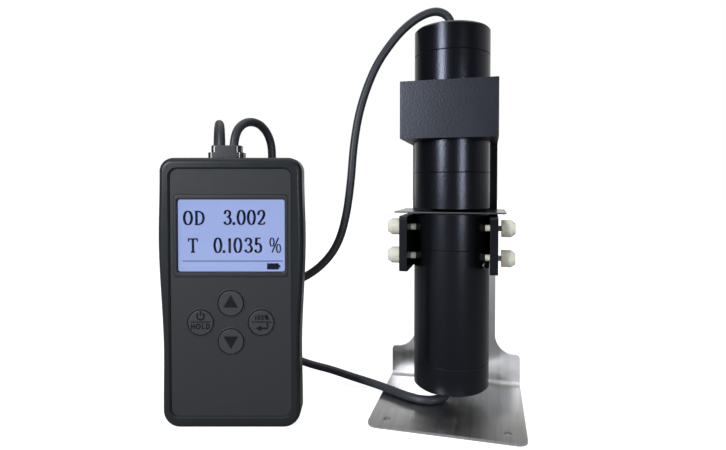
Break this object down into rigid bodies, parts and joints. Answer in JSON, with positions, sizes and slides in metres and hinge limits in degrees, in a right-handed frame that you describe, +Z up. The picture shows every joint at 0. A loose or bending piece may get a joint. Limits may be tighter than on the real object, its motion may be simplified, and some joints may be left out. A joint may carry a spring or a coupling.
{
  "type": "transmission densitometer",
  "caption": "Transmission densitometer: a hand-held meter with display and keys, wired to a lamp probe and a sensor probe that face each other on a bent-sheet stand.",
  "frame": {"origin": "on the underside of the stand's foot, straight below the common axis of the two probes", "axes": "+X to the right of the stand as the user faces it, +Y away from the user, +Z up along the probes"},
  "size_m": [0.2006, 0.1105, 0.2439],
  "materials": {
    "black_anodised": "black anodised, satin",
    "stainless": "brushed stainless sheet",
    "steel_screw": "zinc plated",
    "black_screw": "black oxide, glossy",
    "nylon": "natural white nylon, slightly translucent",
    "gland_rubber": "matt black",
    "cord_jacket": "satin dark grey",
    "case_plastic": "fine-textured charcoal",
    "fascia_film": "fine-textured charcoal film",
    "key_plastic": "satin charcoal",
    "clear_window": "clear",
    "lcd_panel": "back-lit blue",
    "white_plastic": "white",
    "circuit_board": "green solder mask",
    "black_plastic": "black",
    "connector_plastic": "cream",
    "mat_silicone": "grey silicone",
    "nickel": "nickel plated",
    "cell_jacket": "plain dark jacket",
    "optical_glass": "polished",
    "led_epoxy": "clear epoxy",
    "opal": "opal white",
    "filter_glass": "green tinted",
    "metal_can": "gold-flashed can"
  },
  "bodies": {
    "instrument": {"upper_end_cap": "black_anodised", "upper_barrel": "black_anodised", "upper_nose": "black_anodised", "upper_gland": "gland_rubber", "lamp_holder": "black_plastic", "lamp_board": "circuit_board", "lamp_led": "led_epoxy", "collimator_lens": "optical_glass", "lens_ring": "black_anodised", "exit_window": "optical_glass", "lower_end_cap": "black_anodised", "lower_barrel": "black_anodised", "lower_nose": "black_anodised", "lower_gland": "gland_rubber", "nose_lock_screw": "black_screw", "sensor_board": "circuit_board", "photodiode": "metal_can", "colour_filter": "filter_glass", "opal_window": "opal", "filter_ring": "black_anodised", "stand_plate": "stainless", "holder_rail": "black_anodised", "upper_block": "black_anodised", "left_wing": "black_anodised", "right_wing": "black_anodised", "block_screws": "steel_screw", "wing_screws": "steel_screw", "sample_plate": "stainless", "meter_front_shell": "case_plastic", "meter_rear_shell": "case_plastic", "fascia_panel": "fascia_film", "display_window": "clear_window", "lcd_glass": "lcd_panel", "backlight_frame": "white_plastic", "main_board": "circuit_board", "main_chip": "black_plastic", "probe_connectors": "connector_plastic", "key_switches": "black_plastic", "keypad_mat": "mat_silicone", "battery_cells": "cell_jacket", "battery_springs": "nickel", "battery_contacts": "nickel", "case_screws": "steel_screw", "cable_boot": "gland_rubber", "upper_cord": "cord_jacket", "lower_cord": "cord_jacket"},
    "up_key": {"key_up": "key_plastic"},
    "down_key": {"key_down": "key_plastic"},
    "power_key": {"key_power_hold": "key_plastic"},
    "enter_key": {"key_enter": "key_plastic"},
    "left_lower_thumbscrew": {"thumbscrew_left_lower": "nylon"},
    "left_upper_thumbscrew": {"thumbscrew_left_upper": "nylon"},
    "right_lower_thumbscrew": {"thumbscrew_right_lower": "nylon"},
    "right_upper_thumbscrew": {"thumbscrew_right_upper": "nylon"},
    "battery_lid": {"battery_door": "case_plastic"}
  },
  "joints": [
    {"name": "up_press", "type": "slide", "parent": "instrument", "child": "up_key", "axis": [-0.2521, 0.9677, 0], "range_m": [0, 0.0006], "stiffness_N_per_m": 1500, "springref_m": -0.0002},
    {"name": "down_press", "type": "slide", "parent": "instrument", "child": "down_key", "axis": [-0.2521, 0.9677, 0], "range_m": [0, 0.0006], "stiffness_N_per_m": 1500, "springref_m": -0.0002},
    {"name": "power_press", "type": "slide", "parent": "instrument", "child": "power_key", "axis": [-0.2521, 0.9677, 0], "range_m": [0, 0.0006], "stiffness_N_per_m": 1500, "springref_m": -0.0002},
    {"name": "enter_press", "type": "slide", "parent": "instrument", "child": "enter_key", "axis": [-0.2521, 0.9677, 0], "range_m": [0, 0.0006], "stiffness_N_per_m": 1500, "springref_m": -0.0002},
    {"name": "left_lower_turn", "type": "hinge", "parent": "instrument", "child": "left_lower_thumbscrew", "pos_m": [-0.0277, -0.012, 0.0916], "axis": [-1, 0, 0], "range_deg": [0, 720]},
    {"name": "left_upper_turn", "type": "hinge", "parent": "instrument", "child": "left_upper_thumbscrew", "pos_m": [-0.0277, -0.012, 0.1091], "axis": [-1, 0, 0], "range_deg": [0, 720]},
    {"name": "right_lower_turn", "type": "hinge", "parent": "instrument", "child": "right_lower_thumbscrew", "pos_m": [0.0277, -0.012, 0.0916], "axis": [1, 0, 0], "range_deg": [0, 720]},
    {"name": "right_upper_turn", "type": "hinge", "parent": "instrument", "child": "right_upper_thumbscrew", "pos_m": [0.0277, -0.012, 0.1091], "axis": [1, 0, 0], "range_deg": [0, 720]},
    {"name": "battery_lid_hinge", "type": "hinge", "parent": "instrument", "child": "battery_lid", "pos_m": [-0.12171, -0.04014, 0.0133], "axis": [-0.9677, -0.2521, 0], "range_deg": [0, 40]}
  ]
}
